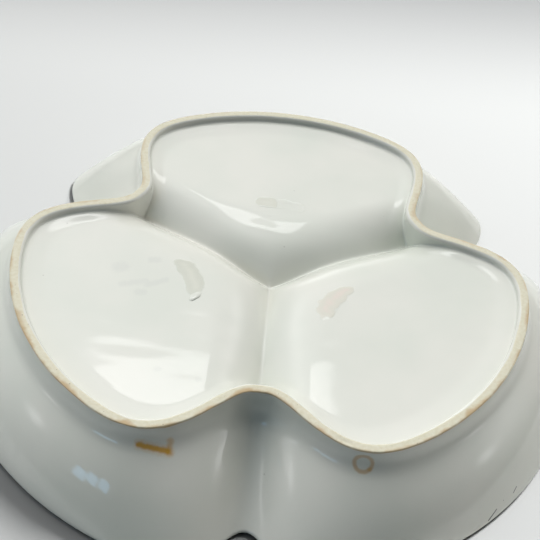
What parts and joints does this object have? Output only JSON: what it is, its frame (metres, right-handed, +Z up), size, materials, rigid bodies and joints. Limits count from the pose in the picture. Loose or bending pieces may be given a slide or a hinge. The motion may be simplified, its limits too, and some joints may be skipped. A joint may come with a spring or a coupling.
{
  "type": "divided candy dish",
  "caption": "Shallow trefoil porcelain dish with low rolled dividers between its wells, a notched rim and a bare foot ring, for serving sweets or relishes.",
  "frame": {"origin": "on the axis of the three wells, in the plane that the foot ring stands on", "axes": "+Z up out of the wells, -Y through the middle of the front well, +X to the right of it"},
  "size_m": [0.244, 0.2407, 0.034],
  "materials": {
    "glaze": "clear glossy glaze over white porcelain",
    "bare_clay": "bare fired clay, ground flat and worn",
    "prop_grit": "thin rough grit stuck to the glaze"
  },
  "bodies": {
    "root": {"dish_shell": "glaze", "foot_ring": "bare_clay", "front_prop_scar": "prop_grit", "right_prop_scar": "prop_grit", "left_prop_scar": "prop_grit"}
  },
  "joints": []
}
